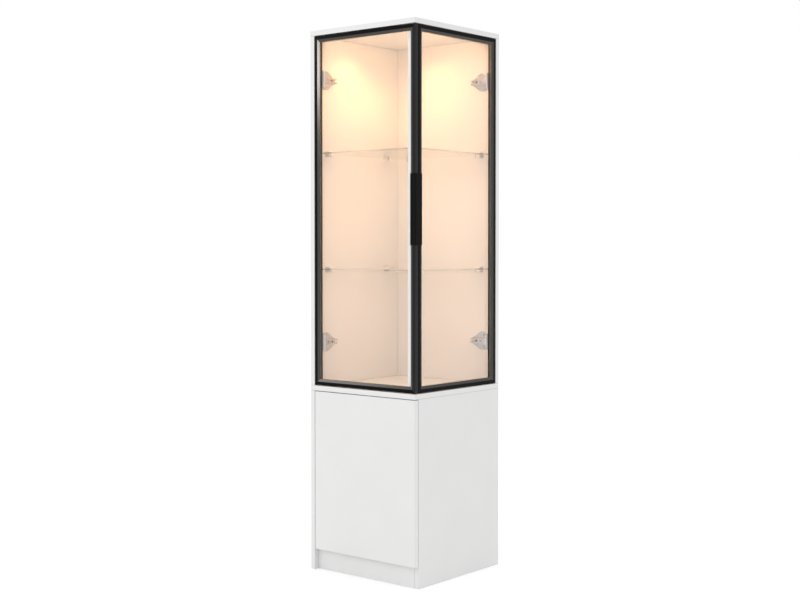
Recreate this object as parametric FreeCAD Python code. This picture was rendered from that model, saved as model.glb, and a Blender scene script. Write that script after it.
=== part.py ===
import FreeCAD, Part
import math
import os
from FreeCAD import Placement, Rotation, Vector

# Cabinet: sizes in millimetres
width = 400.0
depth = 400.0
height = 1600.0
board = 15.0
board_round = 0.8
base_height = 535.0
plinth_height = 60.0
door_gap = 2.0
lap_gap = 2.0
rest_gap = 1.5
floor_set_back = 4.0
fit = 0.1
touch_gap = 0.3
overrun = 1.0

# Cam locks, bolts and dowels of the butt joints
joint_inset = 60.0
cam_radius = 7.5
cam_floor = 2.5
cam_setback = 24.0
cam_slot_length = 9.0
cam_slot_width = 1.6
cam_slot_depth = 2.0
bolt_radius = 3.0
bolt_floor = 4.0
dowel_radius = 4.0
dowel_length = 30.0
dowel_floor = 5.0
dowel_offset = 32.0

# Aluminium frames of the glass doors
frame_face = 18.0
frame_flat = 10.5
frame_thick = 14.0
frame_round = 1.2
bevel_depth = 3.2
pane_thick = 4.0
pane_seat = 4.5
pane_clear = 0.3
bead_width = 4.0
bead_inset = 1.5
bead_thick = 1.5
seal_width = 14.0
seal_thick = 1.5
seal_gap = 0.5
cleat_inset = 3.0
cleat_width = 7.0
cleat_thick = 7.0
cleat_front = 4.0
cleat_leg = 28.0

# Corner handle
handle_proud = 14.0
handle_wrap = 6.0
handle_length = 200.0
handle_centre = 1067.0
handle_round = 2.0
handle_screw_radius = 1.5
handle_screw_floor = 6.0
handle_screw_inset = 3.3
handle_screw_spread = 128.0
handle_screw_head_radius = 2.4
handle_screw_head_height = 2.5

# Hinges: across the door from its hinge edge, and back from its front face
glass_hinge_inset = 125.0
base_hinge_inset = 90.0
pivot_in = 9.0
pivot_back = 5.5
pin_radius = 1.75
pin_fit = 0.05
knuckle_radius = 3.5
knuckle_half = 5.0
finger_half = 2.5
ear_gap = 0.4
ear_thick = 2.0
ear_half = 3.4
ear_front = 3.0
notch_floor = 1.5
notch_clear = 0.7
bracket_edge = 2.0
bracket_width = 10.0
bracket_half = 24.0
bracket_thick = 3.0
flange_reach = 26.0
flange_thick = 1.4
bracket_screw_spread = 32.0
neck_back = 20.0
arm_half = 8.0
arm_chamfer = 2.0
arm_end = 85.0
tail_slot_half = 3.0
tail_slot_length = 12.0
arm_hole_radius = 3.2
arm_hole_depth = 6.0
arm_hole_back = 63.0
arm_screw_back = 47.0
plate_start = 35.0
plate_length = 53.0
wing_half = 27.5
wing_screw_back = 42.0
wing_screw_spread = 36.0
wing_outline_shares = ((0.00, 0.86), (0.06, 1.00), (0.36, 1.00), (0.48, 0.90), (0.80, 0.42), (1.00, 0.29))

# Screws
wood_screw_radius = 1.75
wood_screw_floor = 4.0
wood_screw_head_radius = 3.4
wood_screw_head_height = 1.6
arm_screw_radius = 2.0
door_screw_radius = 1.5
door_screw_floor = 6.0
door_screw_head_radius = 2.6
door_screw_head_height = 1.2
screw_fit = 0.05
head_round_share = 0.45
recess_length_share = 0.62
recess_width_share = 0.17
recess_depth_share = 0.7

# Glass shelves and their clips
shelf_thick = 5.0
shelf_arris = 0.5
shelf_front_gap = 25.0
shelf_wall_gap = 4.5
clip_length = 22.0
clip_reach = 17.0
clip_web = 4.0
clip_low = 9.5
clip_high = 6.5
clip_chamfer = 1.5
clip_clear = 0.15
clip_front_inset = 58.0
clip_back_inset = 60.0
clip_screw_side = 5.5
clip_grub_radius = 2.0
clip_grub_reach = 12.0

# Light bars under the top panel
led_set_back = 30.0
led_size = 15.0
led_lip = 5.0
led_groove_width = 11.0
led_groove_depth = 6.0
led_strip_width = 10.0
led_strip_thick = 1.2
led_diffuser_thick = 1.6
led_end_gap = 30.0
led_corner_gap = 75.0
led_cap_thick = 1.5
lead_radius = 1.6
lead_drop = 4.0
grommet_radius = 6.0
grommet_bore = 4.0
grommet_flange_radius = 9.0
grommet_flange = 1.5
grommet_inset = 15.0

# Catches of the glass doors
catch_length = 36.0
catch_height = 14.0
catch_depth = 12.0
catch_chamfer = 2.0
catch_corner_gap = 100.0
catch_plate_length = 30.0
catch_plate_height = 9.0
catch_plate_inset = 3.0
catch_plate_thick = 1.0

# Push latch of the base door
latch_width = 16.0
latch_height = 18.0
latch_length = 62.0
latch_chamfer = 2.0
latch_side_gap = 22.0
latch_set_back = 6.0
plunger_radius = 4.0
plunger_length = 40.0
plunger_travel = 3.0
plunger_fit = 0.08
strike_radius = 8.0
strike_thick = 1.0
bumper_radius = 4.5
bumper_inset = 40.0

# Planes of the cabinet: the origin is under the middle of its box, handle included
left = -(width + handle_proud) / 2
right = left + width
back = (depth + handle_proud) / 2
front = back - depth
left_in = left + board
right_in = right - board
back_in = back - board
rest = front + board + rest_gap
mid_top = base_height + board
top_under = height - board
base_floor = plinth_height + board

# What the fittings take of a board: all but the floor left under them
cam_depth = board - cam_floor
bolt_embed = board - bolt_floor
dowel_embed = board - dowel_floor
wood_screw_bite = board - wood_screw_floor

X = Vector(1, 0, 0)
Y = Vector(0, 1, 0)
Z = Vector(0, 0, 1)


# Shapes
def box(x0, x1, y0, y1, z0, z1):
    return Part.makeBox(x1 - x0, y1 - y0, z1 - z0, Vector(x0, y0, z0))


def rod(radius, start, axis, length):
    return Part.makeCylinder(radius, length, start, axis)


def prism(points, push):
    outline = [Vector(*point) for point in points]
    return Part.Face(Part.makePolygon(outline + outline[:1])).extrude(push)


def placed(shape, place):
    moved = shape.copy()
    moved.Placement = place.multiply(moved.Placement)
    return moved


def rounded(shape, radius):
    return shape.makeFillet(radius, shape.Edges)


# Groove cut into a face at a point: along and across lie in the face, push runs into it
def groove_cutter(point, along, across, length, breadth, push):
    corners = [point + along * (a * length / 2) + across * (b * breadth / 2)
               for a, b in ((-1, -1), (1, -1), (1, 1), (-1, 1))]
    return prism(corners, push)


# Screw with a rounded head and a cross recess in it
def screw(radius, bite, head_radius, head_height, seat, inward):
    crown = seat - inward * head_height
    head = rod(head_radius, seat, -inward, head_height)
    rim = [edge for edge in head.Edges if edge.Length > head_radius * 2 and
           abs((edge.BoundBox.Center - crown).dot(inward)) < head_height / 2]
    head = head.makeFillet(head_height * head_round_share, rim)
    side = X if abs(inward.z) > 0 else Z
    turned = inward.cross(side)
    span = head_radius * 2
    push = inward * (head_height * recess_depth_share)
    recess = [groove_cutter(crown, a, b, span * recess_length_share, span * recess_width_share, push)
              for a, b in ((side, turned), (turned, side))]
    return rod(radius, seat, inward, bite).fuse(head.cut(recess)).removeSplitter()


nodes = {}


def keep(name, *shapes):
    nodes.setdefault(name, []).extend(shapes)


# Boards of the carcass, before their holes
boards = {
    "top_panel": box(left, right, front, back, top_under, height),
    "mid_panel": box(left, right, front, back, base_height, mid_top),
    "upper_left_panel": box(left, left_in, front, back, mid_top, top_under),
    "upper_back_panel": box(left_in, right, back_in, back, mid_top, top_under),
    "base_left_panel": box(left, left_in, front, back, 0, base_height),
    "base_right_panel": box(right_in, right, rest, back, 0, base_height),
    "base_back_panel": box(left_in, right_in, back_in, back, 0, base_height),
    "base_bottom_panel": box(left_in, right_in, rest + floor_set_back, back_in, plinth_height, base_floor),
    "plinth_board": box(left_in, right_in, rest, rest + board, 0, plinth_height),
}
boards = {name: rounded(shape, board_round) for name, shape in boards.items()}
cuts = {name: [] for name in boards}


# Cam lock and bolt at a point of a butt joint: inward runs into the board that ends there
def cam_joint(face_board, edge_board, point, inward, cam_side, along):
    bolt_start = point - inward * bolt_embed
    bolt_length = bolt_embed + cam_setback
    hole = rod(bolt_radius + fit, bolt_start - inward * fit, inward, bolt_length + fit + fit)
    cam_face = point + inward * cam_setback + cam_side * (board / 2)
    slot = groove_cutter(cam_face, along, inward, cam_slot_length, cam_slot_width, -cam_side * cam_slot_depth)
    keep("cam_locks", rod(cam_radius, cam_face, -cam_side, cam_depth).cut([hole, slot]))
    keep("cam_bolts", rod(bolt_radius, bolt_start, inward, bolt_length))
    pocket_start = cam_face + cam_side * overrun
    pocket = rod(cam_radius + fit, pocket_start, -cam_side, cam_depth + fit + overrun)
    cuts[face_board].append(hole)
    cuts[edge_board].extend([hole, pocket])


def dowel_joint(face_board, edge_board, point, inward):
    start = point - inward * dowel_embed
    keep("wood_dowels", rod(dowel_radius, start, inward, dowel_length))
    hole = rod(dowel_radius + fit, start - inward * fit, inward, dowel_length + fit + fit)
    cuts[face_board].append(hole)
    cuts[edge_board].append(hole)


# Fittings spread along a butt joint, each with a dowel on its side towards the middle
def joint_row(face_board, edge_board, start, end, inward, cam_side, count, inset=joint_inset):
    along = (end - start).normalize()
    span = (end - start).Length - inset - inset
    for step in range(count):
        point = start + along * (inset + span * step / (count - 1))
        cam_joint(face_board, edge_board, point, inward, cam_side, along)
        towards = along if step < count / 2 else -along
        dowel_joint(face_board, edge_board, point + towards * dowel_offset, inward)


left_line = left + board / 2
right_line = right - board / 2
back_line = back - board / 2
floor_line = plinth_height + board / 2
for level, face_board, inward in ((top_under, "top_panel", -Z), (mid_top, "mid_panel", Z)):
    joint_row(face_board, "upper_left_panel", Vector(left_line, front, level),
              Vector(left_line, back, level), inward, -X, 2)
    joint_row(face_board, "upper_back_panel", Vector(left_in, back_line, level),
              Vector(right, back_line, level), inward, Y, 2)
joint_row("upper_left_panel", "upper_back_panel", Vector(left_in, back_line, mid_top),
          Vector(left_in, back_line, top_under), X, Y, 3)
between = joint_inset + dowel_offset / 2
joint_row("mid_panel", "base_left_panel", Vector(left_line, front, base_height),
          Vector(left_line, back, base_height), -Z, -X, 2, between)
joint_row("mid_panel", "base_right_panel", Vector(right_line, rest, base_height),
          Vector(right_line, back, base_height), -Z, -X, 2, between)
for side, wall, inward in ((left_in, "base_left_panel", X), (right_in, "base_right_panel", -X)):
    joint_row(wall, "base_bottom_panel", Vector(side, rest + floor_set_back, floor_line),
              Vector(side, back_in, floor_line), inward, -Z, 2)
    joint_row(wall, "base_back_panel", Vector(side, back_line, base_floor),
              Vector(side, back_line, base_height), inward, Y, 2)
    plinth_end = Vector(side, rest + board / 2, plinth_height / 2)
    cam_joint(wall, "plinth_board", plinth_end, inward, Y, Z)


# One hinge in its door's own axes: x across the door from its hinge edge, y back from its
# front face, z up from the hinge's middle. The wall face lies at x = -door_gap.
def hinge(door, door_thick, wall, place, level):
    here = place.multiply(Placement(Vector(0, 0, level), Rotation()))
    pivot = Vector(pivot_in, pivot_back, 0)
    arm_top = pivot_in + finger_half
    arm_front = pivot_in - finger_half

    knuckle = rod(knuckle_radius, pivot - Z * knuckle_half, Z, knuckle_half * 2)
    finger = prism(((arm_front, pivot_back, -knuckle_half), (arm_top, pivot_back, -knuckle_half),
                    (arm_top, arm_end, -knuckle_half), (0, arm_end, -knuckle_half),
                    (0, neck_back, -knuckle_half), (arm_front, neck_back, -knuckle_half)),
                   Z * (knuckle_half * 2))
    shoulder = arm_top - arm_chamfer
    crown = arm_half - arm_chamfer
    channel = prism(((0, neck_back, -arm_half), (shoulder, neck_back, -arm_half),
                     (arm_top, neck_back, -crown), (arm_top, neck_back, crown),
                     (shoulder, neck_back, arm_half), (0, neck_back, arm_half)),
                    Y * (arm_end - neck_back))
    slot_end = arm_end - tail_slot_length
    slot = box(-overrun, arm_top + overrun, slot_end, arm_end + overrun, -tail_slot_half, tail_slot_half)
    slot_round = rod(tail_slot_half, Vector(-overrun, slot_end, 0), X, arm_top + overrun + overrun)
    adjuster = rod(arm_hole_radius, Vector(arm_top + overrun, arm_hole_back, 0), -X, arm_hole_depth + overrun)
    arm_screw_hole = rod(arm_screw_radius + screw_fit, Vector(arm_top + overrun, arm_screw_back, 0), -X,
                         arm_top + door_gap + overrun + overrun)
    bore = rod(pin_radius + pin_fit, pivot - Z * arm_half, Z, arm_half * 2)
    arm = knuckle.fuse([finger, channel]).removeSplitter()
    keep("hinge_arms", placed(arm.cut([slot, slot_round, adjuster, arm_screw_hole, bore]), here))

    half = [(plate_start + a * plate_length, b * wing_half) for a, b in wing_outline_shares]
    outline = [(-door_gap, y, z) for y, z in half] + [(-door_gap, y, -z) for y, z in reversed(half)]
    plate = prism(outline, X * door_gap).cut([slot, slot_round, arm_screw_hole])
    for side in (-1, 1):
        seat = Vector(0, wing_screw_back, side * wing_screw_spread / 2)
        bite = door_gap + wood_screw_bite
        plate = plate.cut(rod(wood_screw_radius + screw_fit, seat, -X, bite))
        keep("hinge_plate_screws", placed(screw(wood_screw_radius, bite, wood_screw_head_radius,
                                                wood_screw_head_height, seat, -X), here))
        cuts[wall].append(placed(rod(wood_screw_radius + screw_fit, seat, -X, bite + fit), here))
    keep("hinge_mounting_plates", placed(plate, here))
    keep("hinge_arm_screws", placed(screw(arm_screw_radius, arm_top + door_gap, wood_screw_head_radius,
                                          wood_screw_head_height, Vector(arm_top, arm_screw_back, 0), -X),
                                    here))

    ear_in = knuckle_half + ear_gap
    ear_out = ear_in + ear_thick
    bracket_back = door_thick + bracket_thick
    ears = [box(pivot_in - ear_half, pivot_in + ear_half, pivot_back - ear_front, bracket_back, low, high)
            for low, high in ((-ear_out, -ear_in), (ear_in, ear_out))]
    slot_in = pivot_in + knuckle_radius
    foot = box(bracket_edge, bracket_edge + bracket_width, door_thick, bracket_back,
               -bracket_half, bracket_half)
    flange = box(bracket_edge, flange_reach, bracket_back - flange_thick, bracket_back,
                 -bracket_half, bracket_half)
    knuckle_room = box(0, slot_in, door_thick - overrun, bracket_back + overrun, -ear_in, ear_in)
    bracket = foot.fuse(flange).cut(knuckle_room).fuse(ears).removeSplitter().cut(bore)
    notch = box(-overrun, slot_in + notch_clear, notch_floor, bracket_back,
                -ear_out - notch_clear, ear_out + notch_clear)
    door_cuts = [notch]
    for side in (-1, 1):
        seat = Vector(bracket_edge + bracket_width / 2, bracket_back, side * bracket_screw_spread / 2)
        bite = bracket_back - door_screw_floor
        hole = rod(door_screw_radius + screw_fit, seat, -Y, bite + fit)
        bracket = bracket.cut(hole)
        door_cuts.append(hole)
        keep(door + "_bracket_screws", placed(screw(door_screw_radius, bite, door_screw_head_radius,
                                                    door_screw_head_height, seat, -Y), here))
    keep(door + "_hinge_brackets", placed(bracket, here))
    keep(door + "_hinge_pins", placed(rod(pin_radius, pivot - Z * ear_out, Z, ear_out * 2), here))
    return [placed(cut, here) for cut in door_cuts]


# One bar of a frame, upright, with its outer edge at x = 0 and mitred ends
def frame_bar(length):
    low = -length / 2
    pane_line = frame_thick - pane_thick
    seat_line = frame_face - pane_seat
    corners = ((frame_round, 0), (frame_flat, 0), (frame_face, bevel_depth), (frame_face, pane_line),
               (seat_line, pane_line), (seat_line, frame_thick), (0, frame_thick), (0, frame_round))
    points = [Vector(x, y, low) for x, y in corners]
    edges = [Part.LineSegment(a, b).toShape() for a, b in zip(points, points[1:])]
    middle = frame_round - frame_round * math.sqrt(0.5)
    edges.append(Part.Arc(points[-1], Vector(middle, middle, low), points[0]).toShape())
    bar = Part.Face(Part.Wire(edges)).extrude(Z * length)
    reach = frame_face + overrun
    for end in (-1, 1):
        tip = end * length / 2
        mitre = prism(((0, -overrun, tip), (reach, -overrun, tip - end * reach), (reach, -overrun, tip)),
                      Y * (frame_thick + overrun + overrun))
        bar = bar.cut(mitre)
    return bar


def corner_cleat(door_width, door_height, side, end, clear):
    near = cleat_inset - clear
    far = cleat_inset + cleat_width + clear
    reach = cleat_leg + clear
    front_face = cleat_front - clear
    back_face = cleat_front + cleat_thick + clear
    post = box(near, far, front_face, back_face, near, reach)
    foot = box(near, reach, front_face, back_face, near, far)
    cleat = post.fuse(foot).removeSplitter()
    if side > 0:
        cleat = cleat.mirror(Vector(door_width / 2, 0, 0), X)
    cleat.translate(Vector(0, 0, -door_height / 2))
    return cleat if end < 0 else cleat.mirror(Vector(0, 0, 0), Z)


# Framed glass door in its own axes, with z from its middle height
def glass_door(door, door_width, door_height, wall, place, top_end):
    half = door_height / 2
    centre = door_width / 2
    stile = frame_bar(door_height)
    rail = frame_bar(door_width)
    bars = {
        "hinge_stile": stile,
        "meeting_stile": placed(stile, Placement(Vector(door_width, 0, 0), Rotation(Y, 180))),
        "top_rail": placed(rail, Placement(Vector(centre, 0, half), Rotation(Y, 90))),
        "bottom_rail": placed(rail, Placement(Vector(centre, 0, -half), Rotation(Y, -90))),
    }
    if top_end < 0:
        bars["top_rail"], bars["bottom_rail"] = bars["bottom_rail"], bars["top_rail"]
    bar_cuts = []
    for side in (-1, 1):
        for end in (-1, 1):
            cleat = corner_cleat(door_width, door_height, side, end, 0)
            pocket = corner_cleat(door_width, door_height, side, end, fit)
            keep(door + "_door_corner_cleats", placed(cleat, place))
            bar_cuts.append(placed(pocket, place))
    for level in (glass_hinge_inset - half, half - glass_hinge_inset):
        bar_cuts.extend(hinge(door, frame_thick, wall, place, level))

    seat_line = frame_face - pane_seat + pane_clear
    pane = box(seat_line, door_width - seat_line, frame_thick - pane_thick, frame_thick,
               seat_line - half, half - seat_line)
    keep(door + "_door_pane", placed(pane, place))
    bead_in = frame_face - bead_inset
    bead_out = bead_in - bead_width
    bead_back = frame_thick + bead_thick
    bead = box(bead_out, door_width - bead_out, frame_thick, bead_back, bead_out - half, half - bead_out)
    bead = bead.cut(box(bead_in, door_width - bead_in, frame_thick - overrun, bead_back + overrun,
                        bead_in - half, half - bead_in))
    keep(door + "_door_glazing_bead", placed(bead, place))

    plate_centre = door_width - catch_corner_gap
    plate_high = top_end * (half - catch_plate_inset)
    plate_low = plate_high - top_end * catch_plate_height
    plate = box(plate_centre - catch_plate_length / 2, plate_centre + catch_plate_length / 2, frame_thick,
                frame_thick + catch_plate_thick, min(plate_low, plate_high), max(plate_low, plate_high))
    keep(door + "_door_catch_plate", placed(plate, place))
    return {name: placed(bar, place) for name, bar in bars.items()}, bar_cuts


def keep_bars(door, bars, bar_cuts):
    for name, bar in bars.items():
        keep(door + "_door_" + name, bar.cut(bar_cuts))


door_low = mid_top + door_gap
door_high = top_under - door_gap
door_height = door_high - door_low
door_middle = (door_low + door_high) / 2
left_width = right - left_in - door_gap
right_width = back_in - door_gap - front - frame_thick - lap_gap
left_place = Placement(Vector(left_in + door_gap, front, door_middle), Rotation())
right_place = Placement(Vector(right, back_in - door_gap, door_middle), Rotation(Vector(1, -1, 0), 180))
left_bars, left_cuts = glass_door("left", left_width, door_height, "upper_left_panel", left_place, 1)
right_bars, right_cuts = glass_door("right", right_width, door_height, "upper_back_panel", right_place, -1)

# Pale strip along the meeting stile, on the front of the left pane
seal_far = left_width - frame_face - seal_gap
seal_half = door_height / 2 - frame_face - seal_gap
pane_front = frame_thick - pane_thick
seal = box(seal_far - seal_width, seal_far, pane_front - seal_thick, pane_front, -seal_half, seal_half)
keep("left_door_seal_strip", placed(seal, left_place))

# Handle: an angle round the meeting stile of the left door, screwed from behind
handle_low = handle_centre - handle_length / 2
near = right - handle_wrap
far = right + handle_proud
proud = front - handle_proud
bend = handle_round - handle_round * math.sqrt(0.5)
handle_points = [Vector(x, y, handle_low) for x, y in
                 ((far, proud + handle_round), (far, front + frame_thick), (right, front + frame_thick),
                  (right, front), (near, front), (near, proud), (far - handle_round, proud))]
handle_edges = [Part.LineSegment(a, b).toShape() for a, b in zip(handle_points, handle_points[1:])]
handle_edges.append(Part.Arc(handle_points[-1], Vector(far - bend, proud + bend, handle_low),
                             handle_points[0]).toShape())
handle = Part.Face(Part.Wire(handle_edges)).extrude(Z * handle_length)
handle_cuts = []
for side in (-1, 1):
    level = handle_centre + side * handle_screw_spread / 2
    seat = Vector(right - handle_screw_inset, front + frame_thick - handle_screw_head_height, level)
    bite = frame_thick - handle_screw_head_height + handle_proud - handle_screw_floor
    keep("handle_screws", screw(handle_screw_radius, bite, handle_screw_head_radius,
                                handle_screw_head_height, seat, -Y))
    handle_cuts.append(rod(handle_screw_radius + screw_fit, seat, -Y, bite + fit))
    handle_cuts.append(rod(handle_screw_head_radius + screw_fit, seat, Y, handle_screw_head_height + overrun))
keep("corner_handle", handle.cut(handle_cuts))
keep_bars("left", left_bars, left_cuts + handle_cuts)
keep_bars("right", right_bars, right_cuts)

# Door of the base: inset at its hinge side, over the board edges elsewhere
base_door_low = plinth_height + door_gap
base_door_high = base_height - door_gap
base_door_half = (base_door_high - base_door_low) / 2
base_place = Placement(Vector(left_in + door_gap, front, base_door_low + base_door_half), Rotation())
base_door = box(left_in + door_gap, right, front, front + board, base_door_low, base_door_high)
base_cuts = []
for level in (base_hinge_inset - base_door_half, base_door_half - base_hinge_inset):
    base_cuts.extend(hinge("base", board, "base_left_panel", base_place, level))
keep("base_door_panel", rounded(base_door, board_round).cut(base_cuts))
for level in (base_door_low + bumper_inset, base_door_high - bumper_inset):
    keep("base_door_bumpers", rod(bumper_radius, Vector(right_line, front + board, level), Y,
                                  rest_gap - touch_gap))

# Push latch under the middle board, with its strike on the back of the door
latch_x = right_in - latch_side_gap
latch_z = base_height - latch_height / 2
latch_front = front + board + latch_set_back
plunger_tip = front + board + strike_thick + touch_gap
keep("latch_strike", rod(strike_radius, Vector(latch_x, front + board, latch_z), Y, strike_thick))
keep("latch_plunger", rod(plunger_radius, Vector(latch_x, plunger_tip, latch_z), Y, plunger_length))
latch_low = base_height - latch_height
latch_left = latch_x - latch_width / 2
latch_right = latch_x + latch_width / 2
latch_bend = latch_low + latch_chamfer
housing = prism(((latch_left, latch_front, base_height), (latch_left, latch_front, latch_bend),
                 (latch_left + latch_chamfer, latch_front, latch_low),
                 (latch_right - latch_chamfer, latch_front, latch_low),
                 (latch_right, latch_front, latch_bend), (latch_right, latch_front, base_height)),
                Y * latch_length)
plunger_room = plunger_length + plunger_travel + touch_gap
keep("latch_housing", housing.cut(rod(plunger_radius + plunger_fit, Vector(latch_x, plunger_tip, latch_z), Y,
                                      plunger_room)))


# One clip with a jaw above and a jaw below the shelf: out runs from the wall, along runs by it
def shelf_clip(point, out, along, wall):
    gap = shelf_thick / 2 + clip_clear
    profile = ((0, -clip_low), (clip_reach - clip_chamfer, -clip_low), (clip_reach, clip_chamfer - clip_low),
               (clip_reach, -gap), (clip_web, -gap), (clip_web, gap), (clip_reach, gap),
               (clip_reach, clip_high - clip_chamfer), (clip_reach - clip_chamfer, clip_high), (0, clip_high))
    start = point - along * (clip_length / 2)
    clip = prism([start + out * a + Z * b for a, b in profile], along * clip_length)
    jaw = (clip_low + gap) / 2
    seat = point + out * clip_reach - along * clip_screw_side - Z * jaw
    bite = clip_reach + wood_screw_bite
    grub_start = point + out * clip_grub_reach + along * clip_screw_side - Z * clip_low
    grub_length = clip_low - shelf_thick / 2
    keep("shelf_clip_screws", screw(door_screw_radius, bite, door_screw_head_radius,
                                    door_screw_head_height, seat, -out))
    keep("shelf_clip_screws", rod(clip_grub_radius, grub_start, Z, grub_length))
    hole = rod(door_screw_radius + screw_fit, seat, -out, bite + fit)
    keep("shelf_clips", clip.cut([hole, rod(clip_grub_radius + screw_fit, grub_start, Z, grub_length)]))
    cuts[wall].append(hole)


shelf_names = ("lower_glass_shelf", "upper_glass_shelf")
shelf_pitch = (top_under - mid_top) / (len(shelf_names) + 1)
for place_in_order, name in enumerate(shelf_names):
    level = mid_top + shelf_pitch * (place_in_order + 1)
    shelf = box(left_in + shelf_wall_gap, right - shelf_front_gap, front + shelf_front_gap,
                back_in - shelf_wall_gap, level - shelf_thick / 2, level + shelf_thick / 2)
    keep(name, shelf.makeChamfer(shelf_arris, shelf.Edges))
    for y in (front + clip_front_inset, back_in - clip_back_inset):
        shelf_clip(Vector(left_in, y, level), X, Y, "upper_left_panel")
    for x in (left_in + clip_back_inset, right - clip_front_inset):
        shelf_clip(Vector(x, back_in, level), -Y, X, "upper_back_panel")


# One light bar in its own axes: x along it, y back from the front face, z up to the top panel
def light_bar(length, place):
    heel = led_set_back + led_size
    section = ((0, led_set_back, 0), (0, heel, 0), (0, heel, -led_lip),
               (0, led_set_back + led_lip, -led_size), (0, led_set_back, -led_size))
    shine = Vector(0, 1, -1).normalize()
    slope = Vector(0, 1, 1).normalize()
    mouth = Vector(0, heel + led_set_back + led_lip, -led_lip - led_size) / 2

    def slab(half_width, outer, inner):
        corners = [mouth + slope * half_width - shine * outer, mouth - slope * half_width - shine * outer,
                   mouth - slope * half_width - shine * inner, mouth + slope * half_width - shine * inner]
        return prism(corners, X * length)

    groove = slab(led_groove_width / 2, 0, led_groove_depth)
    keep("led_channels", placed(prism(section, X * length).cut(groove), place))
    strip_front = led_groove_depth - led_strip_thick
    keep("led_strips", placed(slab(led_strip_width / 2, strip_front, led_groove_depth), place))
    keep("led_diffusers", placed(slab(led_groove_width / 2 - fit, 0, led_diffuser_thick), place))
    for start, push in ((0, -led_cap_thick), (length, led_cap_thick)):
        cap = prism([(start, y, z) for x, y, z in section], X * push)
        keep("led_end_caps", placed(cap, place))


bar_start = left_in + led_end_gap
bar_line = led_set_back + led_size / 2
light_bar(right - led_corner_gap - bar_start, Placement(Vector(bar_start, front, top_under), Rotation()))
light_bar(back_in - led_end_gap - front - led_corner_gap,
          Placement(Vector(right, front + led_corner_gap, top_under), Rotation(Z, 90)))

# Lead that links the two bars round the corner, and the grommet for the supply lead
lead_turn = led_corner_gap - bar_line
lead_start = Vector(right - led_corner_gap + led_cap_thick, front + bar_line, top_under - lead_drop)
lead_axis = lead_start + Y * (lead_turn - led_cap_thick)
lead_end_face = Part.Face(Part.Wire(Part.makeCircle(lead_radius, lead_start, X)))
keep("led_link_lead", lead_end_face.revolve(lead_axis, Z, 90))
grommet_place = Vector(left_in + grommet_inset, front + bar_line, top_under - grommet_flange)
sleeve = rod(grommet_radius, grommet_place, Z, board + grommet_flange)
flange = rod(grommet_flange_radius, grommet_place, Z, grommet_flange)
grommet_hole = rod(grommet_bore, grommet_place - Z * overrun, Z, board + grommet_flange + overrun * 2)
keep("cable_grommet", sleeve.fuse(flange).removeSplitter().cut(grommet_hole))
cuts["top_panel"].append(rod(grommet_radius + fit, grommet_place, Z, board + grommet_flange + overrun))


# Magnetic catch under the top panel, in the axes of a light bar
def door_catch(place):
    face = frame_thick + catch_plate_thick + touch_gap
    heel = face + catch_depth
    section = ((0, face, 0), (0, heel, 0), (0, heel, catch_chamfer - catch_height),
               (0, heel - catch_chamfer, -catch_height), (0, face, -catch_height))
    keep("door_catches", placed(prism(section, X * catch_length), place))


door_catch(Placement(Vector(right - catch_corner_gap - catch_length / 2, front, top_under), Rotation()))
right_catch = front + frame_thick + lap_gap + catch_corner_gap - catch_length / 2
door_catch(Placement(Vector(right, right_catch, top_under), Rotation(Z, 90)))

for name, shape in boards.items():
    keep(name, shape.cut(cuts[name]))

os.makedirs("parts", exist_ok=True)
for name, shapes in nodes.items():
    solids = [solid for shape in shapes for solid in shape.Solids]
    whole = solids[0] if len(solids) == 1 else Part.makeCompound(solids)
    whole.exportStep("parts/" + name + ".step")
    print(name, len(solids), round(whole.Volume, 1), whole.isValid())
print(len(nodes), "nodes")
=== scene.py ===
import bmesh
import bpy
import math
from mathutils import Matrix, Vector


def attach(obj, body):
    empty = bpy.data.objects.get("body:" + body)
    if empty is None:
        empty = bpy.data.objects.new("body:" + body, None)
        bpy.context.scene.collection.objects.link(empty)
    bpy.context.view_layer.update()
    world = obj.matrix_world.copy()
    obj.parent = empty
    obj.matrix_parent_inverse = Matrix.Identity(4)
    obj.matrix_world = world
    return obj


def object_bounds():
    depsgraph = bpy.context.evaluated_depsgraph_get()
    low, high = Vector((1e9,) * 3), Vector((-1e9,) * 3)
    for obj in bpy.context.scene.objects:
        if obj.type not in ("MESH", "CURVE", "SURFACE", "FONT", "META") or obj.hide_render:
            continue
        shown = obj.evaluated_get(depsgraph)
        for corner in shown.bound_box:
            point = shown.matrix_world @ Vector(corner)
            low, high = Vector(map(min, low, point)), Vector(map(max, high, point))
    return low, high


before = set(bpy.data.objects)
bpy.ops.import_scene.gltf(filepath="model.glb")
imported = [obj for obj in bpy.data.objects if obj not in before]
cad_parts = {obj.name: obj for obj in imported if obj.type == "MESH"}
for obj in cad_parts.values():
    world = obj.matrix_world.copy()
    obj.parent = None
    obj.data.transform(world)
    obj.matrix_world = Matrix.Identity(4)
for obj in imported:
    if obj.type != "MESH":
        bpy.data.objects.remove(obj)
cad_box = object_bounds()


# Boards of the carcass and the base door: 15 mm chipboard with a white melamine skin.
# Each edge carries a 1 mm band, whose glue seam is a hair line, and the butt joints carry grey lines of
# painted shade.
# Cam locks and dowels hold the boards, with the cams on the sides that face the walls.
low, high = cad_box
board, band, door_gap, handle_proud = 0.015, 0.001, 0.002, 0.014
left, right = low[0], high[0] - handle_proud
front, back = low[1] + handle_proud, high[1]
left_in, right_in, back_in = left + board, right - board, back - board
plinth_top, base_top = 0.060, 0.535
mid_top, top_under = base_top + board, high[2] - board
# Widths of the bands' glue seam lines and of the painted shade lines at the butt joints.
hair_line, joint_shade_line = 0.00012, 0.0007


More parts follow.
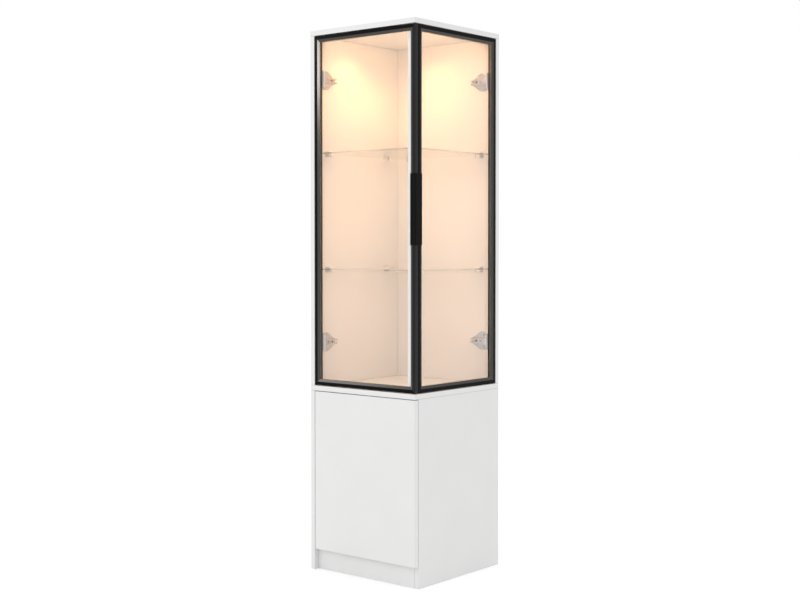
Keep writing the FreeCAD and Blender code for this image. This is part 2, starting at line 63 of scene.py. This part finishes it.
class Wire:
    """A socket of a finish: sums on wires add Math nodes, and node() adds any other node."""

    def __init__(self, socket):
        self.socket = socket

    def node(self, kind, settings, sockets, out=0):
        tree = self.socket.id_data
        made = tree.nodes.new("ShaderNode" + kind)
        for name, value in settings.items():
            setattr(made, name, value)
        plug(made, sockets)
        return Wire(made.outputs[out])

    def math(self, operation, *values):
        return self.node("Math", {"operation": operation}, dict(enumerate(values)))

    def __add__(self, other):
        return self.math("ADD", self, other)

    def __radd__(self, other):
        return self.math("ADD", other, self)

    def __sub__(self, other):
        return self.math("SUBTRACT", self, other)

    def __rsub__(self, other):
        return self.math("SUBTRACT", other, self)

    def __mul__(self, other):
        return self.math("MULTIPLY", self, other)

    def __rmul__(self, other):
        return self.math("MULTIPLY", other, self)

    def __pow__(self, other):
        return self.math("POWER", self, other)

    def __rpow__(self, other):
        return self.math("POWER", other, self)

    def __lt__(self, other):
        return self.math("LESS_THAN", self, other)

    def __gt__(self, other):
        return self.math("GREATER_THAN", self, other)

    def clamped(self):
        return self.node("Clamp", {}, {"Value": self})

    def size(self):
        return self.math("ABSOLUTE", self)

    def noise(self, scale, detail=2.0):
        return self.node("TexNoise", {}, {"Vector": self, "Scale": scale, "Detail": detail})

    def stretched(self, x, y, z):
        return self.node("Mapping", {}, {"Vector": self, "Scale": (x, y, z)})

    def mixed(self, first, second):
        first, second = [end if isinstance(end, Wire) else (*end, 1) for end in (first, second)]
        return self.node("Mix", {"data_type": "RGBA"}, {0: self, 6: first, 7: second}, 2)

    def bump(self, strength, distance):
        return self.node("Bump", {}, {"Height": self, "Strength": strength, "Distance": distance})


def plug(node, sockets):
    for name, value in sockets.items():
        if isinstance(value, Wire):
            node.id_data.links.new(value.socket, node.inputs[name])
        else:
            node.inputs[name].default_value = value


def new_finish(name):
    finish = bpy.data.materials.new(name)
    finish.use_nodes = True
    coordinates = finish.node_tree.nodes.new("ShaderNodeTexCoord")
    return finish, Wire(coordinates.outputs["Object"])


def coat(finish, sockets):
    plug(finish.node_tree.nodes["Principled BSDF"], sockets)


def dress(finish, *names):
    for name in names:
        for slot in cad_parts[name].material_slots:
            slot.material = finish


def board_finish(name, seams_and_joint_shades):
    finish, place = new_finish(name)
    cloud = place.noise(9.0)
    pores = place.noise(2600.0, 1.0)
    # The grey goes on the bands' glue seams and, as painted shade, along the butt joints.
    seam_and_joint_shade = None
    for axis, plane, reach in seams_and_joint_shades:
        line = (place.node("SeparateXYZ", {}, {0: place}, axis) - plane).size() < reach
        seam_and_joint_shade = line if seam_and_joint_shade is None else seam_and_joint_shade.math("MAXIMUM", seam_and_joint_shade, line)
    white = cloud.mixed((0.772, 0.772, 0.770), (0.812, 0.812, 0.810))
    seam_grey_and_joint_shade = (0.52, 0.51, 0.50)
    coat(finish, {"Base Color": seam_and_joint_shade.mixed(white, seam_grey_and_joint_shade), "Roughness": 0.36 + cloud * 0.12,
                  "Normal": pores.bump(0.06, 0.0001)})
    return finish


bands = [("Y", front + band, hair_line), ("X", right - band, hair_line)]
dress(board_finish("white_melamine", bands), "top_panel", "mid_panel", "base_bottom_panel")
# Painted shade along the joints of the upper walls with the mid and top panels.
upper_joint_shades = [("Z", level, joint_shade_line) for level in (mid_top, top_under)]
dress(board_finish("white_melamine_upper", bands + upper_joint_shades), "upper_left_panel", "upper_back_panel")
# Painted shade along the joint of the base walls with the mid panel.
base_joint_shade = [("Z", base_top, joint_shade_line)]
dress(board_finish("white_melamine_base", bands + base_joint_shade), "base_left_panel", "base_right_panel",
      "base_back_panel")
# Painted shade along the ends of the plinth, where it meets the base walls.
plinth_joint_shades = [("X", end, joint_shade_line) for end in (left_in, right_in)]
dress(board_finish("white_melamine_plinth", plinth_joint_shades), "plinth_board")
door_bands = [("X", left_in + door_gap + band, hair_line), ("X", right - band, hair_line),
              ("Z", plinth_top + door_gap + band, hair_line), ("Z", base_top - door_gap - band, hair_line)]
dress(board_finish("white_melamine_door", door_bands), "base_door_panel")


# Knock-down fittings: die-cast zinc cams, steel bolts and beech dowels.
# The cams turn in drilled pockets and draw the bolts tight.
def metal_finish(name, dark, pale, smooth, rough, grain, metallic=1.0):
    finish, place = new_finish(name)
    blotch = place.noise(grain)
    coat(finish, {"Base Color": blotch.mixed(dark, pale), "Metallic": metallic,
                  "Roughness": smooth + blotch * (rough - smooth),
                  "Normal": place.noise(grain * 6).bump(0.05, 0.0001)})
    return finish


zinc = metal_finish("cast_zinc", (0.38, 0.39, 0.40), (0.58, 0.58, 0.59), 0.30, 0.55, 700.0)
dress(zinc, "cam_locks", "cam_bolts")


def dowel_finish():
    finish, place = new_finish("beech_dowel")
    fibre = place.noise(420.0, 4.0)
    coat(finish, {"Base Color": fibre.mixed((0.48, 0.31, 0.17), (0.66, 0.47, 0.29)),
                  "Roughness": 0.7, "Normal": fibre.bump(0.3, 0.0003)})
    return finish


dress(dowel_finish(), "wood_dowels")


# Door frames: extruded aluminium bars, anodised black, mitred and drawn together by cleats.
# The die leaves fine lines along each bar. The slope towards the pane is brushed satin,
# and the lip beside the pane is duller, with a paler colour that is painted reflection of the light bars'
# glow.
def anodised_finish(name, along, inward, shine):
    finish, place = new_finish(name)
    across_scale, along_scale = 1400.0, 9.0
    scales = [along_scale if axis == along else across_scale for axis in "xyz"]
    lines = place.stretched(*scales).noise(1.0, 3.0)
    normal = place.node("TexCoord", {}, {}, "Normal")
    lean = normal.node("VectorMath", {"operation": "DOT_PRODUCT"}, {0: normal, 1: inward}, "Value")
    slope = lean > 0.2
    lip = lean > 0.95
    black = lines.mixed((0.003, 0.003, 0.0028), (0.006, 0.0059, 0.0056))
    satin = lines.mixed((0.052, 0.050, 0.046), (0.085, 0.081, 0.075))
    # Painted reflection: the lip takes a paler colour for the light bars' glow it mirrors.
    pale = lines.mixed((0.12, 0.113, 0.102), (0.175, 0.166, 0.151))
    coat(finish, {"Base Color": lip.mixed(slope.mixed(black, satin), pale), "Metallic": slope,
                  "Roughness": 0.14 + lines * 0.08 + lip * 0.28,
                  "Specular IOR Level": shine, "Normal": lines.bump(0.06, 0.0001)})
    return finish


dull = 0.05
glass_doors = [("left", (1, 0, 0), "x", 0.22), ("right", (0, -1, 0), "y", 0.07)]
for side, from_hinge, rail_axis, stile_shine in glass_doors:
    to_hinge = [-value for value in from_hinge]
    bars = [("hinge_stile", "z", from_hinge, dull), ("meeting_stile", "z", to_hinge, stile_shine),
            ("top_rail", rail_axis, (0, 0, -1), dull), ("bottom_rail", rail_axis, (0, 0, 1), dull)]
    for bar, along, inward, shine in bars:
        name = side + "_door_" + bar
        dress(anodised_finish("black_anodised_" + name, along, inward, shine), name)
cleat_metal = metal_finish("mill_aluminium", (0.62, 0.62, 0.62), (0.78, 0.78, 0.78), 0.3, 0.5, 300.0)
dress(cleat_metal, "left_door_corner_cleats", "right_door_corner_cleats")


# Panes and shelves: clear float glass, 4 mm in the doors and 5 mm for the shelves.
# Light goes straight through, the faces mirror more at a slant, and the shelves' cut edges are pale.
# Beads hold the panes in the frames, and clips on the walls hold the shelves.
def glass_finish(name, clear):
    finish, place = new_finish(name)
    slant = place.node("LayerWeight", {}, {"Blend": 0.5}, "Facing")
    mirror = 0.04 + slant ** 5.0 * 0.96
    haze = place.noise(14.0)
    coat(finish, {"Base Color": (0.9, 0.92, 0.91, 1), "Metallic": 1.0, "Roughness": 0.01 + haze * 0.02})
    through = place.node("BsdfTransparent", {}, {"Color": (*clear, 1)})
    gloss = Wire(finish.node_tree.nodes["Principled BSDF"].outputs[0])
    faces = place.node("MixShader", {}, {0: mirror, 1: through, 2: gloss})
    return finish, faces


def show(finish, surface):
    plug(finish.node_tree.nodes["Material Output"], {"Surface": surface})


pane_glass, pane_faces = glass_finish("door_glass", (0.93, 0.925, 0.93))
show(pane_glass, pane_faces)
dress(pane_glass, "left_door_pane", "right_door_pane")

shelf_glass, shelf_faces = glass_finish("shelf_glass", (0.985, 0.992, 0.988))
shelf_normal = shelf_faces.node("TexCoord", {}, {}, "Normal")
is_edge = shelf_normal.node("SeparateXYZ", {}, {0: shelf_normal}, "Z").size() < 0.5
edge_glow = is_edge.node("BsdfPrincipled", {}, {"Base Color": (0.90, 0.89, 0.84, 1), "Roughness": 0.12})
edge_through = is_edge.node("BsdfTransparent", {}, {"Color": (0.96, 0.97, 0.95, 1)})
edges = is_edge.node("MixShader", {}, {0: 0.2, 1: edge_through, 2: edge_glow})
show(shelf_glass, is_edge.node("MixShader", {}, {0: is_edge, 1: shelf_faces, 2: edges}))
dress(shelf_glass, "upper_glass_shelf", "lower_glass_shelf")


# Glazing beads: black rubber strips pressed into the frames behind the panes.
# The pale strip is milky vinyl, stuck to the front pane along its meeting stile.
def moulded_finish(name, dark, pale, gloss, grain):
    finish, place = new_finish(name)
    speckle = place.noise(grain)
    coat(finish, {"Base Color": speckle.mixed(dark, pale), "Roughness": gloss + speckle * 0.15,
                  "Normal": speckle.bump(0.08, 0.0001)})
    return finish


bead_rubber = moulded_finish("glazing_rubber", (0.014, 0.014, 0.014), (0.024, 0.024, 0.024), 0.6, 1500.0)
dress(bead_rubber, "left_door_glazing_bead", "right_door_glazing_bead")
milky_seal = moulded_finish("milky_seal", (0.90, 0.90, 0.89), (0.94, 0.94, 0.93), 0.35, 600.0)
seal_surface = Wire(milky_seal.node_tree.nodes["Principled BSDF"].outputs[0])
seal_through = seal_surface.node("BsdfTranslucent", {}, {"Color": (0.92, 0.91, 0.89, 1)})
show(milky_seal, seal_surface.node("MixShader", {}, {0: 0.2, 1: seal_surface, 2: seal_through}))
dress(milky_seal, "left_door_seal_strip")


# Corner handle: an aluminium angle with a near-black powder coat, fine and dull.
# Two screws hold it from behind the meeting stile of the front door.
powder = moulded_finish("black_powder_coat", (0.0025, 0.0025, 0.0025), (0.005, 0.005, 0.0048), 0.42, 2400.0)
coat(powder, {"Specular IOR Level": 0.06})
dress(powder, "corner_handle")


# Hinges and shelf clips: nickel-plated steel, bright on plates, arms and pins, satin on the clips with a
# colour partly paled as painted reflection, and near-white on the brackets as painted reflection of the
# white room. Screws hold the plates to the walls and the brackets to the doors.
nickel = metal_finish("bright_nickel", (0.56, 0.52, 0.49), (0.86, 0.82, 0.78), 0.12, 0.28, 260.0)
dress(nickel, "hinge_mounting_plates", "hinge_arms", "left_hinge_pins", "right_hinge_pins",
      "base_hinge_pins")
# The clips' pale colour is partly painted reflection of the lit walls.
satin_nickel = metal_finish("satin_nickel", (0.82, 0.80, 0.78), (0.90, 0.88, 0.86), 0.35, 0.5, 400.0, 0.2)
dress(satin_nickel, "shelf_clips")
# Near-white, non-metallic colour on the brackets: painted reflection of the white room.
nickel_painted_white_reflection = metal_finish("nickel_painted_white_reflection", (0.93, 0.92, 0.91), (0.97, 0.96, 0.95), 0.35, 0.5, 400.0, 0.0)
dress(nickel_painted_white_reflection, "left_hinge_brackets", "right_hinge_brackets", "base_hinge_brackets")
steel = metal_finish("screw_steel", (0.40, 0.39, 0.38), (0.62, 0.61, 0.60), 0.22, 0.40, 900.0)
dress(steel, "hinge_plate_screws", "hinge_arm_screws", "left_bracket_screws", "right_bracket_screws",
      "base_bracket_screws", "handle_screws", "shelf_clip_screws", "left_door_catch_plate",
      "right_door_catch_plate", "latch_strike")


# Adjusting screws of the hinges: steel, sunk in the holes of the hinge arms, near-black as painted shade of
# the holes.
# Each is a turned disc with a softened rim, and it sits on the floor of its hole.
# Near-black colour: painted shade of the holes the screws sit in.
hole_shade_steel = metal_finish("steel_painted_hole_shade", (0.03, 0.027, 0.025), (0.06, 0.055, 0.05), 0.4, 0.6, 900.0)
disc_radius, disc_thick, disc_rim = 0.0031, 0.0022, 0.0004
hole_floor, hole_reach, base_hinge_inset, glass_hinge_inset = 0.0075, 0.063, 0.090, 0.125
base_levels = [plinth_top + door_gap + base_hinge_inset, base_top - door_gap - base_hinge_inset]
glass_levels = [mid_top + door_gap + glass_hinge_inset, top_under - door_gap - glass_hinge_inset]
left_levels = base_levels + glass_levels
disc_spots = [((left_in + hole_floor, front + hole_reach, level), "X", 1) for level in left_levels]
disc_spots += [((right - hole_reach, back_in - hole_floor, level), "Y", -1) for level in glass_levels]
discs = bmesh.new()
for spot, axis, way in disc_spots:
    turn = Matrix.Rotation(math.radians(90), 4, "Y" if axis == "X" else "X")
    middle = Vector(spot) + Vector((1, 0, 0) if axis == "X" else (0, 1, 0)) * way * disc_thick / 2
    bmesh.ops.create_cone(discs, cap_ends=True, segments=32, radius1=disc_radius, radius2=disc_radius,
                          depth=disc_thick, matrix=Matrix.Translation(middle) @ turn)
rims = [edge for edge in discs.edges if any(len(face.verts) > 4 for face in edge.link_faces)]
bmesh.ops.bevel(discs, geom=rims, offset=disc_rim, affect="EDGES", segments=2, profile=0.5, material=-1)
disc_mesh = bpy.data.meshes.new("hinge_adjusting_screws")
discs.to_mesh(disc_mesh)
discs.free()
disc_mesh.materials.append(hole_shade_steel)
adjusters = bpy.data.objects.new("hinge_adjusting_screws", disc_mesh)
bpy.context.scene.collection.objects.link(adjusters)
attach(adjusters, "carcass")


# Light bars: corner channels of bare aluminium under the top panel, behind the door heads.
# A strip of warm diodes lies in each, under a milky diffuser that fades where the strip stops short.
dress(cleat_metal, "led_channels")
strip_board = moulded_finish("strip_board", (0.78, 0.66, 0.40), (0.86, 0.84, 0.78), 0.4, 120.0)
dress(strip_board, "led_strips")


def diffuser_finish():
    finish, place = new_finish("lit_diffuser")
    dark_end, fade = 0.03, 0.13
    from_left = place.node("SeparateXYZ", {}, {0: place}, "X") - left_in
    from_back = back_in - place.node("SeparateXYZ", {}, {0: place}, "Y")
    lit = ((from_left.math("MINIMUM", from_left, from_back) - dark_end) * (1 / fade)).clamped()
    warm = place.noise(160.0).mixed((1.0, 0.53, 0.21), (1.0, 0.57, 0.25))
    coat(finish, {"Base Color": (0.9, 0.88, 0.84, 1), "Roughness": 0.5,
                  "Emission Color": lit.mixed((0, 0, 0), warm), "Emission Strength": 52.0})
    return finish


dress(diffuser_finish(), "led_diffusers")


# Small mouldings: end caps, catches, latch, grommet and lead in pale ABS and vinyl.
# The bumpers are soft grey rubber dots glued to the back of the base door.
pale_plastic = moulded_finish("pale_moulding", (0.60, 0.60, 0.59), (0.68, 0.68, 0.67), 0.35, 1100.0)
dress(pale_plastic, "led_end_caps", "door_catches", "latch_housing", "latch_plunger", "cable_grommet",
      "led_link_lead")
bumper = moulded_finish("bumper_rubber", (0.45, 0.45, 0.45), (0.52, 0.52, 0.52), 0.5, 900.0)
dress(bumper, "base_door_bumpers")


# Floor: a plain pale sheet under soft studio light, white to the eye as the room behind it.
# It takes the cabinet's shadow.
floor_span = 60.0
sheet = bmesh.new()
bmesh.ops.create_grid(sheet, x_segments=1, y_segments=1, size=floor_span / 2)
floor_mesh = bpy.data.meshes.new("floor")
sheet.to_mesh(floor_mesh)
sheet.free()
floor = bpy.data.objects.new("floor", floor_mesh)
bpy.context.scene.collection.objects.link(floor)
floor_finish, floor_place = new_finish("pale_floor")
path = floor_place.node("LightPath", {}, {})
paths = path.socket.node.outputs
seen = path + Wire(paths["Is Glossy Ray"]) + Wire(paths["Is Transmission Ray"])
shown = seen.clamped().mixed((0, 0, 0), (1, 1, 1))
coat(floor_finish, {"Base Color": (0.85, 0.85, 0.85, 1), "Roughness": 0.9, "Specular IOR Level": 0.0,
                    "Emission Color": shown, "Emission Strength": 0.25})
floor_mesh.materials.append(floor_finish)


# Room light: an even white surround, a soft lamp in front, and a high and a side lamp that draw
# the bright lines on the frames. Warm lamps inside stand for what the light bars throw: an upright one
# at the free corner, one down along each wall and one up to the top panel.
world = bpy.data.worlds.new("studio")
bpy.context.scene.world = world
world.use_nodes = True
plug(world.node_tree.nodes["Background"], {"Color": (1, 1, 1, 1), "Strength": 1.0})


def add_lamp(name, place, aim, width, height, power, colour=(1, 1, 1)):
    data = bpy.data.lights.new(name, "AREA")
    data.shape = "RECTANGLE"
    data.size = width
    data.size_y = height
    data.energy = power
    data.color = colour
    lamp = bpy.data.objects.new(name, data)
    bpy.context.scene.collection.objects.link(lamp)
    lamp.location = place
    lamp.rotation_euler = (Vector(aim) - Vector(place)).to_track_quat("-Z", "Y").to_euler()
    return lamp


add_lamp("front_lamp", (0.9, -4.2, 1.1), (0, 0, 0.9), width=0.8, height=1.8, power=2.6)
add_lamp("high_lamp", (-0.04, -3.2, 1.90), (-0.2, -0.2, 1.45), width=0.30, height=0.36, power=6.2)
add_lamp("side_lamp", (-2.6, -2.1, 2.15), (0, -0.2, 0.56), width=0.9, height=0.5, power=4.2)
warm_white, golden_white = (1.0, 0.55, 0.22), (1.0, 0.56, 0.18)
post_inset, post_level, post_drop = 0.038, 0.99, 0.03
post_place = (right - post_inset, front + post_inset, post_level)
inside_lamps = [add_lamp("inside_glow", post_place, (left_in, back_in, post_level - post_drop),
                         width=0.02, height=0.7, power=1.4, colour=warm_white)]
bar_drop, bar_width, bar_spread = 0.013, 0.08, math.radians(130)
bar_level = top_under - bar_drop
for name, x, y, power in (("left_wall_glow", -0.10, -0.05, 0.32), ("back_wall_glow", -0.02, 0.10, 0.25)):
    down_lamp = add_lamp(name, (x, y, bar_level), (x, y, mid_top), bar_width, bar_width, power,
                         golden_white)
    down_lamp.data.spread = bar_spread
    inside_lamps.append(down_lamp)
ceiling_place, ceiling_width = Vector((-0.02, 0.0, 1.30)), 0.16
inside_lamps.append(add_lamp("ceiling_glow", ceiling_place, ceiling_place + Vector((0, 0, 1)),
                             ceiling_width, ceiling_width, power=0.16, colour=warm_white))
for lamp in inside_lamps:
    lamp.visible_camera = False
    lamp.visible_glossy = False


# Camera: the photograph's view, from the right of the front and a little above the middle.
# Its turn, tilt, distance and focal length were fitted to the photograph's edges.
image_width = 800
view_turn = math.radians(39.543)
view_tilt = math.radians(1.398)
view_distance = 3.9817
view_height = 0.9748
focal_pixels = 1332.77
shift_pixels = (-5.7, -25.0)
lens_data = bpy.data.cameras.new("camera")
lens_data.sensor_width = 36.0
lens_data.lens = focal_pixels * lens_data.sensor_width / image_width
lens_data.shift_x = shift_pixels[0] / image_width
lens_data.shift_y = shift_pixels[1] / image_width
camera = bpy.data.objects.new("camera", lens_data)
bpy.context.scene.collection.objects.link(camera)
camera.location = (view_distance * math.sin(view_turn), -view_distance * math.cos(view_turn), view_height)
camera.rotation_euler = (math.pi / 2 - view_tilt, 0, view_turn)
bpy.context.scene.camera = camera
bpy.context.scene.view_settings.view_transform = "Standard"
